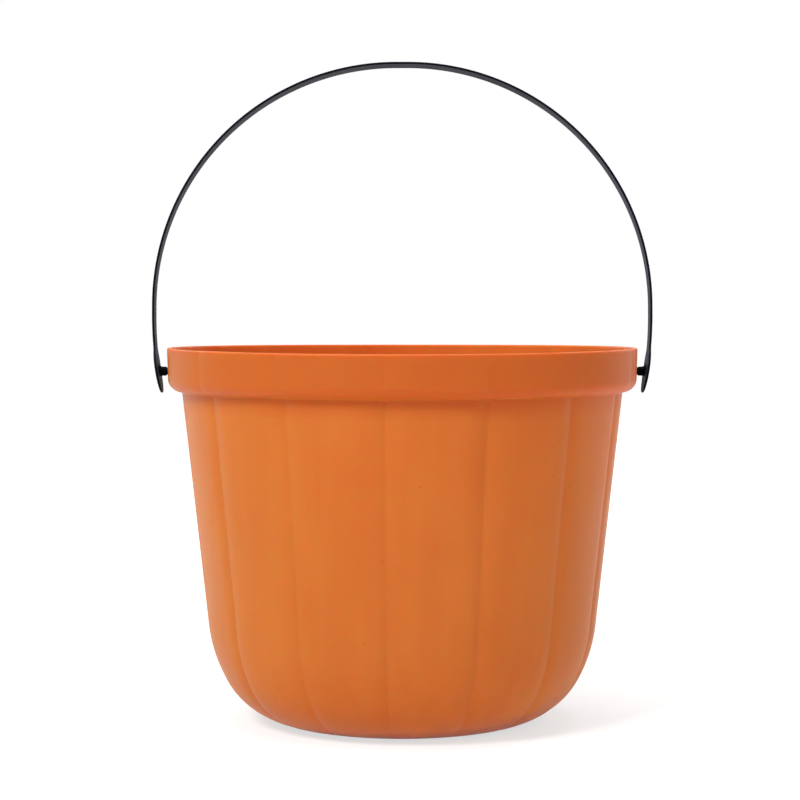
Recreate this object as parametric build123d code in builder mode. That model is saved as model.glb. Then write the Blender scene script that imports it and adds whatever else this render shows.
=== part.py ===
from build123d import *

import os
from math import asin, cos, degrees, radians, sin, tan

# Pumpkin candy pail: one moulded, lobed pail and one moulded strap handle that snaps into it.
# Millimetres, +Z up, the origin under the middle of the foot, the handle's pivots along X.

# Pail: overall sizes
pail_height = 175.0
collar_radius = 110.0  # outside, at the rim
wall_thickness = 1.6
wall_draft = 6.33  # degrees from upright

# Pail: rounded bottom, two tangent arcs from the flat foot to the wall
bowl_corner_radius = 40.0
bowl_corner_turn = 61.8  # degrees from level, where the second arc takes over
bowl_flank_radius = 68.6

# Pail: collar band that stands out from the wall
collar_height = 19.8
collar_corner_radius = 6.0
collar_draft = 1.5  # degrees from upright
shelf_width = 0.5  # flat stretch under the collar, from the wall to the rounded corner

# Pail: lobes, each with a plain round middle and a flank that falls to a valley on both sides
lobe_count = 14
first_valley = -94.3  # degrees from +X
groove_depth = 1.3  # at the top of the wall, less in proportion where the pail is narrower
flank_share = 0.36  # of half a lobe
collar_groove_depth = 0.45  # at the rim

# Pail: underside
foot_width = 6.5
foot_height = 1.2
gate_radius = 2.2
gate_height = 0.5

# Handle: strap, and the round paddles at its ends
strap_width = 11.5
strap_thickness = 1.05
paddle_radius = 11.2
paddle_rise = 0.8  # of the paddle's middle above the pivot
neck_radius = 4.0
handle_lean = 5.0  # degrees, backwards from upright

# Handle: arch of the strap's outer face, from the top down
crown_flat = 2.75  # straight stretch, each way from the middle
leg_straight = 3.5
leg_height = 27.5  # of the widest level above the pivots
leg_inset = 2.05  # from the widest level in to the pivots
paddle_gap = 4.4  # from the collar to the strap's inner face, at the pivots

# Handle: pivot studs, moulded on the paddles and snapped into the collar
pivot_drop = 10.6  # below the rim
shank_radius = 1.7
shank_clearance = 0.2
shoulder_radius = 2.15
shoulder_gap = 0.9  # from the collar's outside
head_radius = 2.75
head_tip_radius = 1.5
head_land = 0.6
head_length = 3.6
head_gap = 0.4  # from the collar's inside

overrun = 2.0  # of cuts, past the face that they open
bowl_steps = 6
corner_steps = 3

# Levels and places that follow from the sizes above
lobe_pitch = 360 / lobe_count
flank_turn = lobe_pitch / 2 * flank_share
wall_turn = 90 - wall_draft
collar_turn = 90 - collar_draft
shelf_level = pail_height - collar_height
pivot_level = pail_height - pivot_drop


def collar_face_radius(level, skin):
    """Crest radius of the collar's upright face, or of its inside for a skin of the wall's thickness."""
    outside = collar_radius - (pail_height - level) * tan(radians(collar_draft))
    return outside - skin / cos(radians(collar_draft))


corner_level = shelf_level + collar_corner_radius
corner_top = corner_level - collar_corner_radius * cos(radians(collar_turn))
corner_reach = collar_corner_radius * sin(radians(collar_turn))
corner_centre_radius = collar_face_radius(corner_top, 0) - corner_reach
wall_top_radius = corner_centre_radius - shelf_width
wall_groove_share = groove_depth / wall_top_radius
collar_groove_share = collar_groove_depth / collar_radius


def wall_radius(level, skin):
    """Crest radius of the tapered wall."""
    outside = wall_top_radius - (shelf_level - level) * tan(radians(wall_draft))
    return outside - skin / cos(radians(wall_draft))


flank_growth = bowl_flank_radius - bowl_corner_radius
flank_level = bowl_corner_radius + flank_growth * cos(radians(bowl_corner_turn))
bowl_top = flank_level - bowl_flank_radius * cos(radians(wall_turn))
flank_centre_radius = wall_radius(bowl_top, 0) - bowl_flank_radius * sin(radians(wall_turn))
foot_radius = flank_centre_radius + flank_growth * sin(radians(bowl_corner_turn))
recess_radius = foot_radius - foot_width


def bowl_point(turn, skin):
    """Level and crest radius of the rounded bottom where it has turned up by so many degrees."""
    if turn <= bowl_corner_turn:
        arm = bowl_corner_radius - skin
        level = bowl_corner_radius - arm * cos(radians(turn))
        radius = foot_radius + arm * sin(radians(turn))
    else:
        arm = bowl_flank_radius - skin
        level = flank_level - arm * cos(radians(turn))
        radius = flank_centre_radius + arm * sin(radians(turn))
    return level, radius


def corner_point(turn, skin):
    """Level and crest radius of the collar's rounded lower corner."""
    arm = collar_corner_radius - skin
    level = corner_level - arm * cos(radians(turn))
    radius = corner_centre_radius + arm * sin(radians(turn))
    return level, radius


def polar(radius, angle):
    return (radius * cos(radians(angle)), radius * sin(radians(angle)))


def lobed_ring(level, crest_radius, groove_share):
    """Level section of the pail: lobes side by side, with a sharp valley between each two."""
    rise = first_valley + flank_turn
    fall = first_valley + lobe_pitch - flank_turn
    valley_radius = crest_radius * (1 - groove_share)
    valley = polar(valley_radius, first_valley)
    next_valley = polar(valley_radius, first_valley + lobe_pitch)
    crest = polar(crest_radius, first_valley + lobe_pitch / 2)
    with BuildLine() as lobe:
        TangentArc(polar(crest_radius, rise), valley, tangent=polar(1, rise - 90))
        ThreePointArc(polar(crest_radius, rise), crest, polar(crest_radius, fall))
        TangentArc(polar(crest_radius, fall), next_valley, tangent=polar(1, fall + 90))
    with BuildSketch(Plane.XY.offset(level)) as ring:
        with BuildLine():
            with PolarLocations(0, lobe_count):
                add(lobe.line)
        make_face()
    return ring.sketch


def pail_stacks(skin):
    """Stacks of level sections of the outer form, or of the hollow, from the floor to the rim."""
    wall_end = shelf_level + skin
    bowl = [bowl_point(wall_turn * step / bowl_steps, skin) for step in range(bowl_steps + 1)]
    wall_top = (wall_end, wall_radius(wall_end, skin))
    corner = [corner_point(collar_turn * step / corner_steps, skin) for step in range(corner_steps + 1)]
    rim = (pail_height, collar_face_radius(pail_height, skin))
    lower = [lobed_ring(*point, wall_groove_share) for point in [*bowl, wall_top]]
    upper = [lobed_ring(*point, collar_groove_share) for point in [*corner, rim]]
    return [lower, upper]


os.makedirs("parts", exist_ok=True)

with BuildPart() as pail:
    for stack in pail_stacks(0):
        loft(stack, ruled=True)
    for stack in pail_stacks(wall_thickness):
        loft(stack, ruled=True, mode=Mode.SUBTRACT)
    # Foot ring: inside it the floor stands higher, at the same thickness, with the gate's mark below
    with BuildSketch(Plane.XY.offset(wall_thickness)):
        Circle(recess_radius + wall_thickness)
    extrude(amount=foot_height)
    with BuildSketch():
        Circle(recess_radius)
    extrude(amount=foot_height, mode=Mode.SUBTRACT)
    with BuildSketch(Plane.XY.offset(foot_height)):
        Circle(gate_radius)
    extrude(amount=-gate_height)
    # Holes for the handle's studs, through both sides of the collar
    with BuildSketch(Plane.YZ):
        with Locations((0, pivot_level)):
            Circle(shank_radius + shank_clearance)
    extrude(amount=collar_radius + overrun, both=True, mode=Mode.SUBTRACT)
pail.part.label = "pail"
export_step(pail.part, "parts/pail.step")

# Handle: the arch is drawn on a plane that leans back about the pivots, its planform square to that
pivot_middle = (0, 0, pivot_level)
lean_sine = sin(radians(handle_lean))
lean_cosine = cos(radians(handle_lean))
arch_plane = Plane(pivot_middle, x_dir=(1, 0, 0), z_dir=(0, -lean_cosine, lean_sine))
side_plane = Plane(pivot_middle, x_dir=(0, lean_cosine, -lean_sine), z_dir=(1, 0, 0))

collar_outside = collar_face_radius(pivot_level, 0)
collar_inside = collar_face_radius(pivot_level, wall_thickness)
pivot_reach = collar_outside + paddle_gap + strap_thickness
widest_reach = pivot_reach + leg_inset
arch_radius = widest_reach - crown_flat
arch_height = leg_height + leg_straight + arch_radius
leg_radius = (leg_height**2 + leg_inset**2) / (2 * leg_inset)
leg_turn = degrees(asin((leg_height + paddle_radius) / leg_radius))


def half_arch(inset):
    """One side of the strap's outer face, or of its inner face for an inset of its thickness."""
    crown = Line((0, arch_height - inset), (crown_flat, arch_height - inset))
    arch = JernArc(crown @ 1, crown % 1, arch_radius - inset, -90)
    straight = Line(arch @ 1, arch @ 1 - (0, leg_straight))
    return JernArc(straight @ 1, straight % 1, leg_radius - inset, -leg_turn)


with BuildPart() as strap_handle:
    with BuildSketch(arch_plane):
        with BuildLine():
            outer_leg = half_arch(0)
            inner_leg = half_arch(strap_thickness)
            Line(outer_leg @ 1, inner_leg @ 1)
            mirror(about=Plane.YZ)
        make_face()
    extrude(amount=paddle_radius, both=True)
    with BuildSketch(side_plane) as planform:
        with Locations((0, paddle_rise)):
            Circle(paddle_radius)
            Rectangle(strap_width, arch_height, align=(Align.CENTER, Align.MIN))
        necks = planform.vertices().group_by(Axis.Y)[0]
        fillet(necks, neck_radius)
    extrude(amount=widest_reach + overrun, both=True, mode=Mode.INTERSECT)
    # Studs: a shoulder on the paddle, a shank through the collar and a snap head behind it
    root = pivot_reach - strap_thickness / 2
    shoulder = collar_outside + shoulder_gap
    head = collar_inside - head_gap
    tip = head - head_length
    with BuildSketch(Plane.XY.offset(pivot_level)):
        with BuildLine():
            Polyline(
                (root, 0),
                (root, shoulder_radius),
                (shoulder, shoulder_radius),
                (shoulder, shank_radius),
                (head, shank_radius),
                (head, head_radius),
                (head - head_land, head_radius),
                (tip, head_tip_radius),
                (tip, 0),
                close=True,
            )
        make_face()
        mirror(about=Plane.YZ)
    revolve(axis=Axis(pivot_middle, (1, 0, 0)))
strap_handle.part.label = "strap_handle"
export_step(strap_handle.part, "parts/strap_handle.step")
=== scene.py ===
import math

import bmesh
import bpy
import numpy as np
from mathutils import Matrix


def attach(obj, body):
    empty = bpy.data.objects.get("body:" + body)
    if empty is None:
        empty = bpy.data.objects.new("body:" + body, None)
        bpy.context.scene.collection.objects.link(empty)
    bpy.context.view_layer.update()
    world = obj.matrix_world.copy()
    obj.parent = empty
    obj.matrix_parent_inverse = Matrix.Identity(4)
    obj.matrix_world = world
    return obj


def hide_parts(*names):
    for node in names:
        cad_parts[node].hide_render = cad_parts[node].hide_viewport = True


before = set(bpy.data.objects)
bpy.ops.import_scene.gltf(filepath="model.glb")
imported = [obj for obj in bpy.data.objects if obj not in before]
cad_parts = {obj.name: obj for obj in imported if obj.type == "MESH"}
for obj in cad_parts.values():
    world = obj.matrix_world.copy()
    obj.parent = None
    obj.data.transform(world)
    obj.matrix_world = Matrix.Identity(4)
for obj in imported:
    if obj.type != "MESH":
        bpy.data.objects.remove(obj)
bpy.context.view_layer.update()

# The pieces' lengths are in millimetres and their angles in degrees; stage, lamps and camera are in metres
mm = 0.001
deg = math.pi / 180
tiny = 1e-6  # guards against dividing by zero and against rounding
sharpTurn = 50  # an edge that turns by more than this is shaded sharp


def smoothStep(values, low, high):
    # 0 up to low, 1 from high on, and an S-shaped way between
    t = np.clip((values - low) / (high - low), 0, 1)
    return t * t * (3 - 2 * t)


def arcPoints(centre, arm, turns):
    # radius and level on an arc, where turn 0 points straight down and 90 degrees straight out
    return np.column_stack([centre[0] + arm * np.sin(turns * deg), centre[1] - arm * np.cos(turns * deg)])


def bendPoints(start, corner, end, count):
    # quadratic curve from start to end that leaves and arrives along the two sides of the corner
    t = np.linspace(0, 1, count)[:, None]
    return (1 - t) ** 2 * np.array(start) + 2 * t * (1 - t) * np.array(corner) + t**2 * np.array(end)


def flatPoints(start, end, level, count):
    # evenly spaced radii at one level
    return np.column_stack([np.linspace(start, end, count), np.full(count, level)])


def gridQuads(columns, rows):
    # corner numbers of the cells of a grid that closes on itself; a point's number is column * rows + row
    i = np.arange(columns)[:, None]
    j = np.arange(rows - 1)[None, :]
    k = (i + 1) % columns
    return np.stack([i * rows + j, k * rows + j, k * rows + j + 1, i * rows + j + 1], axis=-1)


def makePiece(name, points, quads, triangles):
    # mesh of the points that the faces use, and the numbers of those points
    used, renumbered = np.unique(np.concatenate([quads.ravel(), triangles.ravel()]), return_inverse=True)
    sizes = np.concatenate([np.full(len(quads), 4), np.full(len(triangles), 3)])
    mesh = bpy.data.meshes.new(name)
    mesh.vertices.add(len(used))
    mesh.vertices.foreach_set("co", (points[used] * mm).astype(np.float32).ravel())
    mesh.loops.add(len(renumbered))
    mesh.loops.foreach_set("vertex_index", renumbered.astype(np.int32))
    mesh.polygons.add(len(sizes))
    mesh.polygons.foreach_set("loop_start", (np.cumsum(sizes) - sizes).astype(np.int32))
    mesh.update(calc_edges=True)
    mesh.polygons.foreach_set("use_smooth", np.ones(len(sizes), bool))
    mesh.set_sharp_from_angle(angle=sharpTurn * deg)
    piece = bpy.data.objects.new(name, mesh)
    bpy.context.scene.collection.objects.link(piece)
    return piece, used


# Pail: one closed skin, a profile turned about Z and pressed in along 14 valleys
pailShell = {
    # sizes, as in the solid
    "height": 175.0, "collarRadius": 110.0, "thickness": 1.6, "wallDraft": 6.33,
    "cornerRadius": 40.0, "cornerTurn": 61.8, "flankRadius": 68.6,
    "collarHeight": 19.8, "collarCorner": 6.0, "collarDraft": 1.5, "shelf": 0.5,
    "lobes": 14, "firstValley": -94.3, "flankShare": 0.36, "groove": 1.3, "collarGroove": 0.45,
    "footWidth": 6.5, "footHeight": 1.2, "gateRadius": 2.2, "gateHeight": 0.5,
    "pivotDrop": 10.6, "holeRadius": 1.9,
    # soft edges, and turns on the collar's rounded corner
    "footRound": 0.5, "footRoundShare": 0.4, "shelfRound": 1.0, "shelfTurn": 9.0, "ledgeRound": 0.9,
    "outerCornerTurns": (18.0, 79.0), "innerCornerTurns": (74.0, 4.0),
    # gate mark: shares of its radius and of its height
    "gateShares": ((0.7, 0.0), (0.93, 0.06), (1.0, 0.4), (1.02, 0.8), (1.15, 1.0)),
    # grooves: rounded bottom, radii between which they come in, and their change of depth at the shelf
    "valleyRound": 0.06, "grooveStart": 50.0, "grooveFull": 68.0, "blendBefore": 1.2, "blendAfter": 0.6,
    # unevenness of wall and rim; the shift is in radians
    "warp": 0.25, "warpWaves": 3, "warpShift": 0.8, "warpFrom": 20.0,
    "rimLift": 0.15, "rimWave": 0.35, "rimReach": 6.0,
    # where the painted shade on the collar and under its shelf, and the painted red bounce light inside the
    # bottom, begin and end
    "shadeFrom": 6.0, "shadeTo": 2.0, "bounceFrom": 4.0, "bounceTo": 48.0,
    # grid: radii of the innermost rings on flat stretches, and distances of other rings from their edges
    "undersideMiddle": 5.5, "floorMiddle": 5.0,
    "recessClear": 0.9, "footClear": 1.5, "innerClear": 1.4, "floorClear": 3.0,
    # grid: rings on each stretch, with those it shares with the next
    "rings": {"recess": 6, "round": 4, "foot": 3, "bowlLow": 19, "bowlHigh": 10, "wall": 14, "shelf": 8,
              "corner": 8, "face": 7, "lip": 11, "ledge": 7, "innerFoot": 2, "floor": 5},
    # grid: columns of a lobe, crowded towards its valleys, and the patches around the stud holes
    "columnsPerLobe": 30, "columnCrowd": 1.6,
    "holeReach": 4.0, "holeTurn": 2.0, "holeClear": 2.3, "holeSteps": 16,
}


def pailPlaces(p):
    # levels, crest radii and arc centres that follow from the sizes
    at = {"shelf": p["height"] - p["collarHeight"], "pivot": p["height"] - p["pivotDrop"]}
    at["collarTan"] = math.tan(p["collarDraft"] * deg)
    at["wallTan"] = math.tan(p["wallDraft"] * deg)
    at["wallTurn"] = 90 - p["wallDraft"]
    collarTurn = 90 - p["collarDraft"]
    cornerLevel = at["shelf"] + p["collarCorner"]
    at["cornerTop"] = cornerLevel - p["collarCorner"] * math.cos(collarTurn * deg)
    cornerReach = p["collarCorner"] * math.sin(collarTurn * deg)
    cornerMiddle = p["collarRadius"] - (p["height"] - at["cornerTop"]) * at["collarTan"] - cornerReach
    at["cornerCentre"] = (cornerMiddle, cornerLevel)
    at["wallTop"] = cornerMiddle - p["shelf"]
    growth = p["flankRadius"] - p["cornerRadius"]
    flankLevel = p["cornerRadius"] + growth * math.cos(p["cornerTurn"] * deg)
    at["bowlTop"] = flankLevel - p["flankRadius"] * math.cos(at["wallTurn"] * deg)
    flankReach = p["flankRadius"] * math.sin(at["wallTurn"] * deg)
    flankMiddle = at["wallTop"] - (at["shelf"] - at["bowlTop"]) * at["wallTan"] - flankReach
    at["flankCentre"] = (flankMiddle, flankLevel)
    at["foot"] = flankMiddle + growth * math.sin(p["cornerTurn"] * deg)
    at["footCentre"] = (at["foot"], p["cornerRadius"])
    at["recess"] = at["foot"] - p["footWidth"]
    at["gateLevel"] = p["footHeight"] - p["gateHeight"]
    at["floor"] = p["footHeight"] + p["thickness"]
    return at


def wallLine(p, at, levels, inset):
    radius = at["wallTop"] - (at["shelf"] - levels) * at["wallTan"] - inset / math.cos(p["wallDraft"] * deg)
    return np.column_stack([radius, levels])


def collarLine(p, at, levels, inset):
    # upright face, and the rounded corner where the level is below it
    outside = p["collarRadius"] - (p["height"] - levels) * at["collarTan"]
    face = outside - inset / math.cos(p["collarDraft"] * deg)
    middle, middleLevel = at["cornerCentre"]
    arm = p["collarCorner"] - inset
    corner = np.sqrt(np.maximum(arm**2 - (middleLevel - levels) ** 2, 0)) + middle
    return np.column_stack([np.where(levels < at["cornerTop"], corner, face), levels])


def bowlLine(p, at, inset):
    lowTurns = np.linspace(0, p["cornerTurn"], p["rings"]["bowlLow"])
    highTurns = np.linspace(p["cornerTurn"], at["wallTurn"], p["rings"]["bowlHigh"])[1:]
    low = arcPoints(at["footCentre"], p["cornerRadius"] - inset, lowTurns)
    high = arcPoints(at["flankCentre"], p["flankRadius"] - inset, highTurns)
    return np.concatenate([low, high])


def pailProfile(p, at):
    # crest radius and level from the underside's middle, up the outside, over the lip, to the floor
    skin, rings, soft = p["thickness"], p["rings"], p["footRound"]
    foot, recess, ceiling, floor = at["foot"], at["recess"], p["footHeight"], at["floor"]
    gate = np.array(p["gateShares"]) * [p["gateRadius"], p["gateHeight"]] + [0, at["gateLevel"]]
    underside = flatPoints(p["undersideMiddle"], recess - p["recessClear"], ceiling, rings["recess"])
    softRise = p["footRoundShare"] * ceiling
    footStep = np.concatenate([
        bendPoints([recess - soft, ceiling], [recess, ceiling],
                   [recess, ceiling - softRise], rings["round"]),
        bendPoints([recess, softRise], [recess, 0], [recess + soft, 0], rings["round"])])
    footFlat = flatPoints(recess + p["footClear"], foot - p["footClear"], 0, rings["foot"])
    outerBowl, innerBowl = bowlLine(p, at, 0), bowlLine(p, at, skin)
    wallLevels = np.linspace(at["bowlTop"], at["shelf"] - p["shelfRound"], rings["wall"])[1:]
    outerWall = wallLine(p, at, wallLevels, 0)
    centre, arm = at["cornerCentre"], p["collarCorner"]
    shelfEnd = arcPoints(centre, arm, np.array([p["shelfTurn"]]))[0]
    shelfBend = bendPoints(outerWall[-1], [at["wallTop"], at["shelf"]], shelfEnd, rings["shelf"])[1:]
    outerCorner = arcPoints(centre, arm, np.linspace(*p["outerCornerTurns"], rings["corner"]))
    holeLevels = at["pivot"] + p["holeReach"] * np.linspace(-1, 1, p["holeSteps"] + 1)
    outerHole, innerHole = collarLine(p, at, holeLevels, 0), collarLine(p, at, holeLevels, skin)
    faceLevels = np.linspace(holeLevels[-1], p["height"] - skin / 2, rings["face"])[1:]
    outerFace, innerFace = collarLine(p, at, faceLevels, 0), collarLine(p, at, faceLevels, skin)
    # lip: half an ellipse from the outer to the inner face
    lipTurn = np.linspace(0, math.pi, rings["lip"])[1:-1]
    lipMiddle = (outerFace[-1] + innerFace[-1]) / 2
    lipReach = (outerFace[-1, 0] - innerFace[-1, 0]) / 2
    lip = lipMiddle + np.column_stack([lipReach * np.cos(lipTurn), skin / 2 * np.sin(lipTurn)])
    innerCorner = arcPoints(centre, arm - skin, np.linspace(*p["innerCornerTurns"], rings["corner"]))
    ledgeLevel = at["shelf"] + skin
    ledgeEnd, ledgeCorner = wallLine(p, at, np.array([ledgeLevel - p["shelfRound"], ledgeLevel]), skin)
    ledgeStart = [ledgeCorner[0] + p["ledgeRound"], ledgeLevel]
    ledge = bendPoints(ledgeStart, ledgeCorner, ledgeEnd, rings["ledge"])
    innerWall = wallLine(p, at, np.linspace(ledgeEnd[1], innerBowl[-1, 1], rings["wall"])[1:-1], skin)
    raised = recess + skin  # radius of the raised middle of the floor
    innerFlat = flatPoints(foot - skin, raised + p["innerClear"], skin, rings["innerFoot"])
    innerStep = np.concatenate([
        bendPoints([raised + soft, skin], [raised, skin], [raised, skin + soft], rings["round"]),
        bendPoints([raised, floor - soft], [raised, floor], [raised - soft, floor], rings["round"])])
    innerFloor = flatPoints(recess - p["floorClear"], p["floorMiddle"], floor, rings["floor"])
    # each stretch: name, points, and whose grooves it has
    stretches = [
        ("gate", gate, "none"), ("underside", underside, "none"), ("footStep", footStep, "none"),
        ("footFlat", footFlat, "none"), ("outerBowl", outerBowl, "wall"), ("outerWall", outerWall, "wall"),
        ("shelfBend", shelfBend, "blend"), ("outerCorner", outerCorner, "collar"),
        ("outerHole", outerHole, "collar"), ("outerFace", outerFace, "collar"), ("lip", lip, "collar"),
        ("innerFace", innerFace[::-1], "collar"), ("innerHole", innerHole[::-1], "collar"),
        ("innerCorner", innerCorner, "collar"), ("ledge", ledge, "blend"), ("innerWall", innerWall, "wall"),
        ("innerBowl", innerBowl[::-1], "wall"), ("innerFlat", innerFlat, "none"),
        ("innerStep", innerStep, "none"), ("innerFloor", innerFloor, "none")]
    profile = np.concatenate([points for name, points, grooves in stretches])
    kinds = np.concatenate([np.full(len(points), grooves) for name, points, grooves in stretches])
    starts = {}
    count = 0
    for name, points, grooves in stretches:
        starts[name] = count
        count += len(points)
    # groove depth as a share of the crest radius
    wallShare, collarShare = p["groove"] / at["wallTop"], p["collarGroove"] / p["collarRadius"]
    fade = smoothStep(profile[:, 0], p["grooveStart"], p["grooveFull"])
    blend = smoothStep(profile[:, 0], at["wallTop"] - p["blendBefore"], centre[0] + p["blendAfter"])
    shares = np.select(
        [kinds == "wall", kinds == "collar", kinds == "blend"],
        [wallShare * fade, collarShare + 0 * fade, wallShare + (collarShare - wallShare) * blend], 0)
    inside = starts["lip"] + (len(lip) + 1) // 2  # first ring past the top of the lip
    return profile, shares, starts, inside


def pailColumns(p):
    # angles from valley to valley, close together at the valleys, even across the two stud holes,
    # and each column's distance from its valley as a share of the flank
    pitch = 360 / p["lobes"]
    half = np.linspace(0, 1, p["columnsPerLobe"] // 2 + 1) ** p["columnCrowd"] * pitch / 2
    lobe = np.concatenate([half[:-1], pitch - half[:0:-1]])
    angles = (p["firstValley"] + pitch * np.arange(p["lobes"])[:, None] + lobe).ravel()
    angles = np.mod(angles + 90, 360) - 90  # counted from -90, so that no stud hole lies on the seam
    across = np.linspace(-p["holeTurn"], p["holeTurn"], p["holeSteps"] + 1)
    clear = np.minimum(np.abs(angles), np.abs(angles - 180)) > p["holeClear"]
    angles = np.sort(np.concatenate([angles[clear], across, 180 + across]))
    offset = np.abs(np.mod(angles - p["firstValley"] + pitch / 2, pitch) - pitch / 2)
    return angles, offset / (pitch / 2 * p["flankShare"])


def buildPail(p):
    at = pailPlaces(p)
    profile, shares, starts, inside = pailProfile(p, at)
    angles, offsets = pailColumns(p)
    columns, rows = len(angles), len(profile)
    crest, crestLevel = profile[None, :, 0], profile[None, :, 1]
    # press: the square of what is left of the way up the flank, nearly 1 in a valley, 0 on a lobe's middle
    rounded = np.sqrt(offsets**2 + p["valleyRound"] ** 2)
    press = np.clip(1 - rounded, 0, 1) ** 2
    radius = crest * (1 - shares[None, :] * press[:, None])
    # warp: a slow inward wave, none at the studs and none near the foot
    wave = np.sin(angles * deg) ** 2 * (0.5 + 0.5 * np.sin(p["warpWaves"] * angles * deg + p["warpShift"]))
    radius = radius - p["warp"] * wave[:, None] * smoothStep(crestLevel, p["warpFrom"], p["height"])
    # rim: a little higher at the two sides than at the front and back
    lift = p["rimLift"] + p["rimWave"] * np.cos(2 * angles * deg)
    level = crestLevel + lift[:, None] * smoothStep(crestLevel, p["height"] - p["rimReach"], p["height"])
    turn = np.broadcast_to(angles[:, None] * deg, radius.shape).copy()
    # stud holes: a square patch of cells is drawn to a circle in its inner half, and that half is left out
    steps, half, core = p["holeSteps"], p["holeSteps"] // 2, p["holeSteps"] // 4
    step = np.arange(-half, half + 1) / half
    keep = np.ones((columns, rows - 1), bool)
    # edge of the left-out half, point by point around it, in cells from the patch's middle
    order = np.arange(2 * steps)
    edgeAcross = np.clip(np.abs((order + core) % (2 * steps) - steps) - half, -core, core)
    edgeUp = np.clip(np.abs((order - core) % (2 * steps) - steps) - half, -core, core)
    edges = []
    for side in (0, 180):
        first = int(np.searchsorted(angles, side - p["holeTurn"] - tiny))
        for start, sense in ((starts["outerHole"], 1), (starts["innerHole"], -1)):
            block = np.ix_(np.arange(first, first + steps + 1), np.arange(start, start + steps + 1))
            a, b = np.meshgrid(step, sense * step, indexing="ij")
            # ring: 0 in the patch's middle, 0.5 on the hole's edge, 1 on the patch's border
            ring = np.maximum(np.maximum(np.abs(a), np.abs(b)), tiny)
            reach = np.maximum(np.hypot(a, b), tiny)
            share = np.clip(2 - 2 * ring, 0, 1)
            sideways = radius[block] * np.sin(turn[block] - side * deg)
            upward = level[block] - at["pivot"]
            sideways = (1 - share) * sideways + share * 2 * ring * p["holeRadius"] * a / reach
            upward = (1 - share) * upward + share * 2 * ring * p["holeRadius"] * b / reach
            radius[block] += (upward + at["pivot"] - level[block]) * at["collarTan"]
            turn[block] = side * deg + np.arcsin(sideways / radius[block])
            level[block] = upward + at["pivot"]
            keep[first + core:first + 3 * core, start + core:start + 3 * core] = False
            edges.append((first + half + edgeAcross) * rows + start + half + sense * edgeUp)
    points = np.stack([radius * np.cos(turn), radius * np.sin(turn), level], axis=-1).reshape(-1, 3)
    quads = gridQuads(columns, rows)[keep]
    # bores join the outer and the inner edge of each hole
    bores = [np.stack([outer, np.roll(outer, -1), np.roll(inner, -1), inner], axis=-1)
             for outer, inner in (edges[0:2], edges[2:4])]
    # one point in the middle of the underside and one in the middle of the floor close the skin
    poles = np.array([[0, 0, at["gateLevel"]], [0, 0, at["floor"]]])
    low, high = len(points), len(points) + 1
    i = np.arange(columns)
    k = (i + 1) % columns
    fans = np.concatenate([
        np.column_stack([np.full(columns, low), k * rows, i * rows]),
        np.column_stack([np.full(columns, high), i * rows + rows - 1, k * rows + rows - 1])])
    points = np.concatenate([points, poles])
    piece, used = makePiece("pailShell", points, np.concatenate([quads, *bores]), fans)
    # band: painted shade, 1 on the collar's outside, its lip and just under the shelf, 0 further down and
    # on the inside
    # inner: painted red bounce light, 1 inside the bottom, fading to 0 up the inside of the wall
    rise = smoothStep(profile[:, 1], at["shelf"] - p["shadeFrom"], at["shelf"] - p["shadeTo"])
    bounceGlow = 1 - smoothStep(profile[:, 1], p["bounceFrom"], p["bounceTo"])
    isInside = np.arange(rows) >= inside
    layers = {
        # valley: painted shade in the grooves
        "valley": np.append(np.repeat(press, rows), [0, 0]),
        "band": np.append(np.tile(rise * ~isInside, columns), [0, 0]),
        "inner": np.append(np.tile(bounceGlow * isInside, columns), [0, 1]),
    }
    for name, values in layers.items():
        layer = piece.data.attributes.new(name, "FLOAT", "POINT")
        layer.data.foreach_set("value", values[used].astype(np.float32))
    return piece


pail = buildPail(pailShell)
print("pail skin:", len(pail.data.vertices), "points")

# Strap handle: the planform's outline times a cross profile, bent along the arch, and two turned studs
strapShape = {
    # sizes, as in the solid, and the collar's faces at the level of the pivots
    "lean": 5.0, "width": 11.5, "thickness": 1.05,
    "paddleRadius": 11.2, "paddleRise": 0.8, "neckRadius": 4.0,
    "crownFlat": 2.75, "widest": 117.222, "legStraight": 3.5, "legHeight": 27.5, "legInset": 2.05,
    "pivotLevel": 164.4, "collarOutside": 109.722, "collarInside": 108.122,
    "shankRadius": 1.7, "shoulderRadius": 2.15, "shoulderGap": 0.9,
    "headRadius": 2.75, "headTip": 1.5, "headLand": 0.6, "headLength": 3.6, "headGap": 0.4,
    # soft edges, and the flare where a stud stands on its paddle
    "edgeRound": 0.42, "rootRadius": 3.4, "rootSink": 0.5, "rootEdge": 0.1, "rootRun": 2.2,
    "shoulderRound": 0.3, "headRound": 0.2, "tipRound": 0.3,
    # snap head's edge: shares of its rounding, along the stud and in from its radius
    "headShares": ((0.0, 0.75), (0.1, 0.5), (0.25, 0.0), (1.0, 0.0)),
    # grid: shares of the way from the edge to the middle, reach of the weld, and points on each stretch
    "faceShares": (1.0, 0.72, 0.45, 0.2), "weld": 0.0001,
    "rings": {"straight": 131, "neck": 15, "paddle": 31, "edge": 6,
              "root": 7, "shoulder": 5, "head": 4, "tip": 8, "around": 40},
}


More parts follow.
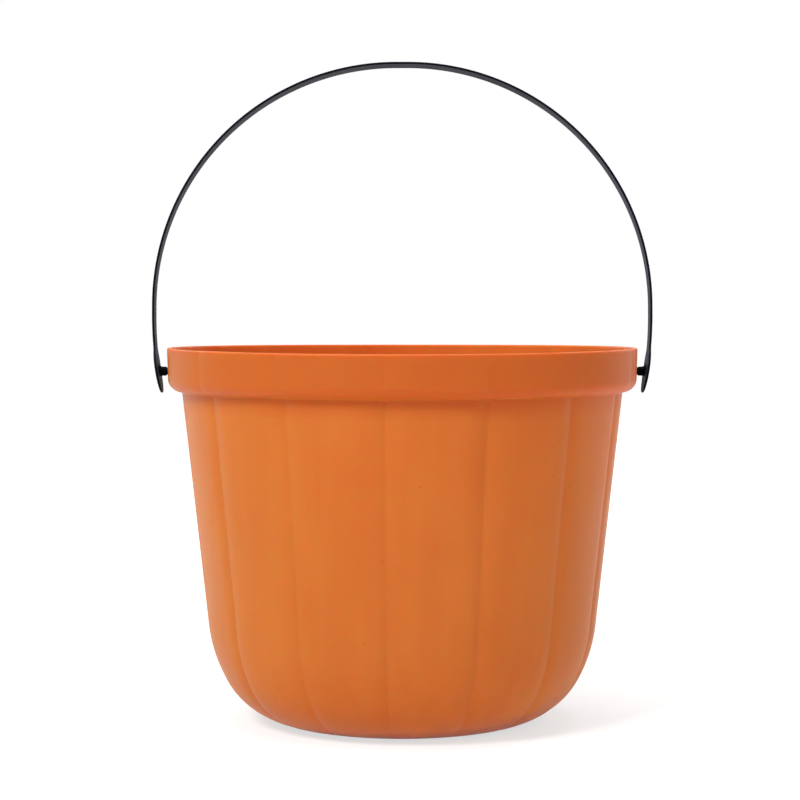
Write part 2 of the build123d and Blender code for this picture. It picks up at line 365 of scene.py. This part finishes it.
def strapPath(p, along):
    # point and outward direction on the outer face, for a length along the strap up from the pivot,
    # and the whole length to the middle of the crown
    legRadius = (p["legHeight"] ** 2 + p["legInset"] ** 2) / (2 * p["legInset"])
    legLength = legRadius * math.asin(p["legHeight"] / legRadius)
    archRadius = p["widest"] - p["crownFlat"]
    archStart = legLength + p["legStraight"]
    archEnd = archStart + archRadius * math.pi / 2
    legTurn = (legLength - along) / legRadius
    archTurn = (along - archStart) / archRadius
    spots = [along < legLength, along < archStart, along < archEnd]
    archFoot = p["legHeight"] + p["legStraight"]
    reach = np.select(spots, [
        p["widest"] - legRadius * (1 - np.cos(legTurn)), p["widest"] + 0 * along,
        p["crownFlat"] + archRadius * np.cos(archTurn)], p["crownFlat"] + archEnd - along)
    rise = np.select(spots, [
        p["legHeight"] - legRadius * np.sin(legTurn), p["legHeight"] + along - legLength,
        archFoot + archRadius * np.sin(archTurn)], archFoot + archRadius + 0 * along)
    outX = np.select(spots, [np.cos(legTurn), 1 + 0 * along, np.cos(archTurn)], 0 * along)
    outZ = np.select(spots, [-np.sin(legTurn), 0 * along, np.sin(archTurn)], 1 + 0 * along)
    return reach, rise, outX, outZ, archEnd + p["crownFlat"]


def strapBand(p):
    half, paddle, neck, rings = p["width"] / 2, p["paddleRadius"], p["neckRadius"], p["rings"]
    length = strapPath(p, np.zeros(1))[4]
    # quarter outline, from the middle of the crown to the paddle's tip: straight edge, neck arc, paddle arc
    neckLevel = p["paddleRise"] + math.sqrt((paddle + neck) ** 2 - (half + neck) ** 2)
    meet = math.atan2(neckLevel - p["paddleRise"], half + neck)
    neckTurn = np.linspace(math.pi, math.pi + meet, rings["neck"])[1:]
    paddleTurn = np.linspace(meet, -math.pi / 2, rings["paddle"])[1:]
    straight = np.linspace(length, neckLevel, rings["straight"])
    across = np.concatenate([
        np.full(len(straight), half), half + neck + neck * np.cos(neckTurn), paddle * np.cos(paddleTurn)])
    along = np.concatenate([
        straight, neckLevel + neck * np.sin(neckTurn), p["paddleRise"] + paddle * np.sin(paddleTurn)])
    across[-1] = 0
    neckSpine = np.linspace(neckLevel, p["paddleRise"], rings["neck"])[1:]
    spine = np.concatenate([straight, neckSpine, np.full(len(paddleTurn), p["paddleRise"])])
    # whole outline: down the right leg's front edge and up its back edge,
    # then down the left leg's back edge and up its front edge
    order = np.arange(len(across))
    loop = np.concatenate([order, order[-2::-1], order[1:], order[-2:0:-1]])
    hand = np.concatenate([np.ones(2 * len(order) - 1), -np.ones(2 * len(order) - 3)])
    near = np.ones(len(order))
    side = np.concatenate([-near, near[1:], near[1:], -near[:-2]])
    edge = np.column_stack([side * across[loop], along[loop]])
    middle = np.column_stack([0 * side, spine[loop]])
    width = np.linalg.norm(edge - middle, axis=1)
    inward = (middle - edge) / width[:, None]
    # cross profile: outer face, rounded edge, inner face, as a way in from the edge and a depth
    turn = np.linspace(0, math.pi / 2, rings["edge"])
    soft = p["edgeRound"]
    faceShares = np.array(p["faceShares"])
    rim = np.concatenate([soft * (1 - np.sin(turn)), soft * (1 - np.sin(turn[::-1]))])
    rimDepth = np.concatenate([soft * (1 - np.cos(turn)), p["thickness"] - soft * (1 - np.cos(turn[::-1]))])
    away = np.concatenate([
        faceShares[None, :] * width[:, None], np.repeat(rim[None, :], len(width), 0),
        faceShares[None, ::-1] * width[:, None]], axis=1)
    depth = np.concatenate([0 * faceShares, rimDepth, p["thickness"] + 0 * faceShares])
    flat = edge[:, None, :] + inward[:, None, :] * away[:, :, None]
    reach, rise, outX, outZ, _ = strapPath(p, flat[:, :, 1])
    archX = hand[:, None] * (reach - outX * depth[None, :])
    archZ = rise - outZ * depth[None, :]
    leanSine, leanCosine = math.sin(p["lean"] * deg), math.cos(p["lean"] * deg)
    return np.stack([
        archX, archZ * leanSine + flat[:, :, 0] * leanCosine,
        p["pivotLevel"] + archZ * leanCosine - flat[:, :, 0] * leanSine], axis=-1)


def studOutline(p):
    # distance from the pail's middle, and radius: flared root on the paddle, shoulder, shank and snap head
    rings, rootRadius, shoulderRadius = p["rings"], p["rootRadius"], p["shoulderRadius"]
    root = strapPath(p, np.zeros(1))[0][0] - p["thickness"]
    shoulder, head = p["collarOutside"] + p["shoulderGap"], p["collarInside"] - p["headGap"]
    tip = head - p["headLength"]
    headEdge = np.array([head, p["headRadius"]]) - p["headRound"] * np.array(p["headShares"])
    return np.concatenate([
        [[root + p["rootSink"], 0], [root + p["rootSink"], rootRadius]],
        bendPoints([root + p["rootEdge"], rootRadius], [root - p["rootEdge"], shoulderRadius],
                   [root - p["rootRun"], shoulderRadius], rings["root"]),
        bendPoints([shoulder + p["shoulderRound"], shoulderRadius], [shoulder, shoulderRadius],
                   [shoulder, p["shankRadius"]], rings["shoulder"]),
        [[head, p["shankRadius"]], headEdge[0]],
        bendPoints(*headEdge[1:], rings["head"]),
        bendPoints([head - p["headLand"], p["headRadius"]], [tip, p["headTip"] + p["tipRound"]],
                   [tip, p["headTip"] - p["tipRound"]], rings["tip"]),
        [[tip, 0]]])


def buildStrap(p):
    band, outline = strapBand(p), studOutline(p)
    around = np.linspace(0, 2 * math.pi, p["rings"]["around"] + 1)[:-1]
    grids = [band]
    for sense in (1, -1):
        grids.append(np.stack([
            np.broadcast_to(sense * outline[None, :, 0], (len(around), len(outline))),
            np.cos(around)[:, None] * outline[None, :, 1],
            p["pivotLevel"] + np.sin(around)[:, None] * outline[None, :, 1]], axis=-1))
    points = np.concatenate([grid.reshape(-1, 3) for grid in grids])
    quads = []
    count = 0
    for grid in grids:
        quads.append(gridQuads(*grid.shape[:2]).reshape(-1, 4) + count)
        count += grid.shape[0] * grid.shape[1]
    piece, _ = makePiece("strapHandle", points, np.concatenate(quads), np.zeros((0, 3), int))
    form = bmesh.new()
    form.from_mesh(piece.data)
    bmesh.ops.remove_doubles(form, verts=form.verts, dist=p["weld"] * mm)
    bmesh.ops.recalc_face_normals(form, faces=form.faces)
    form.to_mesh(piece.data)
    form.free()
    piece.data.set_sharp_from_angle(angle=sharpTurn * deg)
    return piece


strap = buildStrap(strapShape)
print("strap handle:", len(strap.data.vertices), "points")


# Shader helpers: most return a source, which is a node and the name or number of its output
def feed(tree, value, node, inputName):
    # value is a source, or else a plain number or colour
    if isinstance(value, tuple) and isinstance(value[0], bpy.types.Node):
        tree.links.new(value[0].outputs[value[1]], node.inputs[inputName])
    else:
        node.inputs[inputName].default_value = value


def noiseNode(tree, source, scale, detail, roughness=0.5):
    node = tree.nodes.new("ShaderNodeTexNoise")
    for name, value in (("Vector", source), ("Scale", scale), ("Detail", detail), ("Roughness", roughness)):
        feed(tree, value, node, name)
    return node, "Fac"


def stretchNode(tree, source, scale):
    node = tree.nodes.new("ShaderNodeMapping")
    feed(tree, source, node, "Vector")
    feed(tree, scale, node, "Scale")
    return node, "Vector"


def rangeNode(tree, source, low, high, start=0.0, end=1.0):
    node = tree.nodes.new("ShaderNodeMapRange")
    node.interpolation_type = "SMOOTHSTEP"
    feed(tree, source, node, "Value")
    for name, value in (("From Min", low), ("From Max", high), ("To Min", start), ("To Max", end)):
        feed(tree, value, node, name)
    return node, "Result"


def mathNode(tree, operation, *values):
    node = tree.nodes.new("ShaderNodeMath")
    node.operation = operation
    for slot, value in enumerate(values):
        feed(tree, value, node, slot)
    return node, "Value"


def mixColour(tree, share, first, second):
    # a Mix node has sockets of every kind: those for colours are inputs 6 and 7 and output 2
    node = tree.nodes.new("ShaderNodeMix")
    node.data_type = "RGBA"
    for slot, value in ((0, share), (6, first), (7, second)):
        feed(tree, value, node, slot)
    return node, 2


# Moulded surface, shared by both plastics: cloudy mottle, flow streaks, satin grain, scuffs, a few specks
surfaceLook = {
    "mottleScale": 26.0, "mottleDetail": 4, "mottleRoughness": 0.55, "mottleRange": (0.32, 0.68),
    "flowScale": (75.0, 75.0, 8.0), "flowDetail": 3, "flowRange": (0.3, 0.7),
    "grainScale": 1500.0, "grainDetail": 2, "grainShare": 0.35, "peelScale": 240.0, "peelDetail": 1,
    "scuffScale": (520.0, 520.0, 45.0), "scuffDetail": 1, "scuffRange": (0.66, 0.76),
    "speckScale": 120.0, "speckRange": (0.05, 0.09), "speckRare": 0.86,
}


def surfaceGroup(look):
    group = bpy.data.node_groups.new("mouldedSurface", "ShaderNodeTree")
    group.interface.new_socket("Vector", in_out="INPUT", socket_type="NodeSocketVector")
    place = (group.nodes.new("NodeGroupInput"), "Vector")
    cloud = noiseNode(group, place, look["mottleScale"], look["mottleDetail"], look["mottleRoughness"])
    mottle = rangeNode(group, cloud, *look["mottleRange"])
    streaks = noiseNode(group, stretchNode(group, place, look["flowScale"]), 1, look["flowDetail"])
    flow = rangeNode(group, streaks, *look["flowRange"])
    grain = noiseNode(group, place, look["grainScale"], look["grainDetail"])
    peel = noiseNode(group, place, look["peelScale"], look["peelDetail"])
    height = mathNode(group, "MULTIPLY_ADD", grain, look["grainShare"], peel)
    scratches = noiseNode(group, stretchNode(group, place, look["scuffScale"]), 1, look["scuffDetail"])
    scuff = mathNode(group, "MULTIPLY", rangeNode(group, scratches, *look["scuffRange"]), flow)
    # specks: the middles of a few cells, picked by the cells' own random colours
    cells = group.nodes.new("ShaderNodeTexVoronoi")
    feed(group, place, cells, "Vector")
    feed(group, look["speckScale"], cells, "Scale")
    dot = rangeNode(group, (cells, "Distance"), *look["speckRange"], 1, 0)
    cellTone = group.nodes.new("ShaderNodeSeparateColor")
    feed(group, (cells, "Color"), cellTone, "Color")
    rare = mathNode(group, "GREATER_THAN", (cellTone, "Red"), look["speckRare"])
    speck = mathNode(group, "MULTIPLY", dot, rare)
    results = {"Mottle": mottle, "Flow": flow, "Height": height, "Scuff": scuff, "Speck": speck}
    for name in results:
        group.interface.new_socket(name, in_out="OUTPUT", socket_type="NodeSocketFloat")
    end = group.nodes.new("NodeGroupOutput")
    for name, source in results.items():
        feed(group, source, end, name)
    return group


surface = surfaceGroup(surfaceLook)


def plastic(name, look):
    material = bpy.data.materials.new(name)
    material.use_nodes = True
    tree = material.node_tree
    shader = tree.nodes["Principled BSDF"]
    skin = tree.nodes.new("ShaderNodeGroup")
    skin.node_tree = surface
    feed(tree, (tree.nodes.new("ShaderNodeTexCoord"), "Object"), skin, "Vector")
    cloud = mathNode(tree, "MULTIPLY", (skin, "Mottle"), look["mottle"])
    colour = mixColour(tree, cloud, look["base"], look["pale"])
    streak = mathNode(tree, "MULTIPLY", (skin, "Flow"), look["flow"])
    colour = mixColour(tree, streak, colour, look["deep"])
    for layerName, amount, tone in look["layers"]:
        layer = tree.nodes.new("ShaderNodeAttribute")
        layer.attribute_name = layerName
        share = mathNode(tree, "MULTIPLY", (layer, "Fac"), amount)
        colour = mixColour(tree, share, colour, look[tone])
    speck = mathNode(tree, "MULTIPLY", (skin, "Speck"), look["speck"])
    feed(tree, mixColour(tree, speck, colour, look["dust"]), shader, "Base Color")
    rough = mathNode(tree, "MULTIPLY_ADD", (skin, "Mottle"), look["patchy"], look["roughness"])
    feed(tree, mathNode(tree, "MULTIPLY_ADD", (skin, "Scuff"), look["scuff"], rough), shader, "Roughness")
    bump = tree.nodes.new("ShaderNodeBump")
    feed(tree, look["bump"], bump, "Strength")
    feed(tree, look["bumpDepth"] * mm, bump, "Distance")
    feed(tree, (skin, "Height"), bump, "Height")
    feed(tree, (bump, "Normal"), shader, "Normal")
    for socketName, value in look["shader"].items():
        shader.inputs[socketName].default_value = value
    return material


# Orange lets light in under its skin, red the furthest; its layers are mesh attribute, amount and tone, and
# paint shade in the valleys, on the collar and under its shelf, and red bounce light inside the bottom
orangeLook = {
    "base": (0.515, 0.161, 0.0225, 1), "pale": (0.54, 0.183, 0.028, 1), "deep": (0.44, 0.112, 0.0135, 1),
    # inside is painted red bounce light for the inside of the bottom; the deeper tone colours the flow
    # streaks and also paints shade in the valleys, on the collar and under its shelf
    "inside": (0.70, 0.165, 0.021, 1), "dust": (0.36, 0.075, 0.01, 1),
    "mottle": 0.55, "flow": 0.25, "speck": 0.35,
    "layers": (("valley", 0.04, "deep"), ("band", 0.8, "deep"), ("inner", 0.9, "inside")),
    "roughness": 0.42, "patchy": 0.06, "scuff": 0.14, "bump": 0.18, "bumpDepth": 0.06,
    "shader": {"IOR": 1.49, "Specular IOR Level": 0.14, "Subsurface Weight": 0.75,
               "Subsurface Radius": (1.0, 0.08, 0.02), "Subsurface Scale": 10 * mm},
}
# Black has a faint bluish bloom, made with sheen
blackLook = {
    "base": (0.003, 0.0032, 0.0055, 1), "pale": (0.0045, 0.0048, 0.0075, 1),
    "deep": (0.0025, 0.0026, 0.004, 1), "dust": (0.05, 0.05, 0.055, 1),
    "mottle": 0.6, "flow": 0.4, "speck": 0.3, "layers": (),
    "roughness": 0.48, "patchy": 0.08, "scuff": 0.14, "bump": 0.2, "bumpDepth": 0.05,
    "shader": {"IOR": 1.49, "Specular IOR Level": 0.03, "Specular Tint": (0.8, 0.84, 1.0, 1),
               "Sheen Weight": 0.08, "Sheen Roughness": 0.5, "Sheen Tint": (0.45, 0.49, 0.8, 1)},
}
pail.data.materials.append(plastic("orangePlastic", orangeLook))
strap.data.materials.append(plastic("blackPlastic", blackLook))
print("plastics ready")

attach(pail, "pail")
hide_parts("pail")
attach(strap, "handle")
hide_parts("strap_handle")
print("pieces placed")

# Stage: white floor, soft lamps, camera at the photo's place
stageLook = {
    "floorSize": 12.0, "floorTone": (0.8, 0.8, 0.8, 1), "seenTone": (0.42, 0.42, 0.42, 1),
    "nearGlow": 0.66, "farGlow": 0.96, "glowFrom": 0.25, "glowTo": 1.2,
    "aroundTint": (0.97, 0.98, 1.0, 1), "aroundLight": 0.15, "white": (1, 1, 1, 1),
}
lamps = {
    "keyFrontLeft": {"place": (-0.85, -1.25, 1.4), "aim": (0, 0, 0.1), "size": 0.55, "power": 28.0},
    "sideLeft": {"place": (-1.6, -0.3, 1.2), "aim": (0, 0, 0.1), "size": 0.9, "power": 5.0},
    "fillRight": {"place": (1.25, -1.1, 1.15), "aim": (0, 0, 0.1), "size": 1.1, "power": 7.5},
    "overhead": {"place": (0, 0, 1.5), "aim": (0, 0.01, 0.1), "size": 1.0, "power": 14.0},
    "behindLeft": {"place": (-0.8, 1.4, 1.1), "aim": (0, 0, 0.1), "size": 1.1, "power": 6.0},
    "behindRight": {"place": (0.8, 1.4, 1.1), "aim": (0, 0, 0.1), "size": 1.1, "power": 7.5},
}
cameraLook = {"lens": 105.75, "sensor": 36.0, "place": (-0.00105, -1.1041, 0.1980), "dip": 2.447}

scene = bpy.context.scene
half = stageLook["floorSize"] / 2
floorMesh = bpy.data.meshes.new("floor")
floorCorners = [(-half, -half, 0), (half, -half, 0), (half, half, 0), (-half, half, 0)]
floorMesh.from_pydata(floorCorners, [], [(0, 1, 2, 3)])
floor = bpy.data.objects.new("floor", floorMesh)
scene.collection.objects.link(floor)


def seenSwitch(tree, outputKind, lighting, seen):
    # one shader for what is seen, straight or in a reflection, and another for the light on the object
    path = tree.nodes.new("ShaderNodeLightPath")
    direct = mathNode(tree, "ADD", (path, "Is Camera Ray"), (path, "Is Glossy Ray"))
    watched = mathNode(tree, "ADD", direct, (path, "Is Transmission Ray"))
    watched[0].use_clamp = True
    switch = tree.nodes.new("ShaderNodeMixShader")
    for slot, source in enumerate((watched, lighting, seen)):
        feed(tree, source, switch, slot)
    feed(tree, (switch, "Shader"), tree.nodes.new(outputKind), "Surface")


def shaderNode(tree, kind, colour, outputName):
    # shader of one colour, as a source
    node = tree.nodes.new(kind)
    node.inputs["Color"].default_value = colour
    return node, outputName


floorMaterial = bpy.data.materials.new("floorWhite")
floorMaterial.use_nodes = True
tree = floorMaterial.node_tree
tree.nodes.clear()
plainFloor = shaderNode(tree, "ShaderNodeBsdfDiffuse", stageLook["floorTone"], "BSDF")
# seen floor: white that keeps the object's soft shadow, with more light of its own further away
seenFloor = shaderNode(tree, "ShaderNodeBsdfDiffuse", stageLook["seenTone"], "BSDF")
away = tree.nodes.new("ShaderNodeVectorMath")
away.operation = "LENGTH"
feed(tree, (tree.nodes.new("ShaderNodeTexCoord"), "Object"), away, 0)
strength = rangeNode(tree, (away, "Value"), stageLook["glowFrom"], stageLook["glowTo"],
                     stageLook["nearGlow"], stageLook["farGlow"])
glow = shaderNode(tree, "ShaderNodeEmission", stageLook["white"], "Emission")
feed(tree, strength, glow[0], "Strength")
paleFloor = tree.nodes.new("ShaderNodeAddShader")
feed(tree, seenFloor, paleFloor, 0)
feed(tree, glow, paleFloor, 1)
seenSwitch(tree, "ShaderNodeOutputMaterial", plainFloor, (paleFloor, "Shader"))
floorMesh.materials.append(floorMaterial)

world = bpy.data.worlds.new("studio")
scene.world = world
world.use_nodes = True
tree = world.node_tree
tree.nodes.clear()
allAround = shaderNode(tree, "ShaderNodeBackground", stageLook["aroundTint"], "Background")
feed(tree, stageLook["aroundLight"], allAround[0], "Strength")
backdrop = shaderNode(tree, "ShaderNodeBackground", stageLook["white"], "Background")
seenSwitch(tree, "ShaderNodeOutputWorld", allAround, backdrop)

for name, look in lamps.items():
    data = bpy.data.lights.new(name, "AREA")
    data.shape = "SQUARE"
    data.size = look["size"]
    data.energy = look["power"]
    lamp = bpy.data.objects.new(name, data)
    lamp.location = look["place"]
    way = np.array(look["aim"]) - np.array(look["place"])
    lamp.rotation_euler = (math.atan2(math.hypot(way[0], way[1]), -way[2]), 0, math.atan2(-way[0], way[1]))
    scene.collection.objects.link(lamp)

cameraData = bpy.data.cameras.new("photoCamera")
cameraData.lens = cameraLook["lens"]
cameraData.sensor_width = cameraLook["sensor"]
camera = bpy.data.objects.new("photoCamera", cameraData)
camera.location = cameraLook["place"]
camera.rotation_euler = ((90 - cameraLook["dip"]) * deg, 0, 0)
scene.collection.objects.link(camera)
scene.camera = camera
scene.view_settings.view_transform = "Standard"
print("stage set")
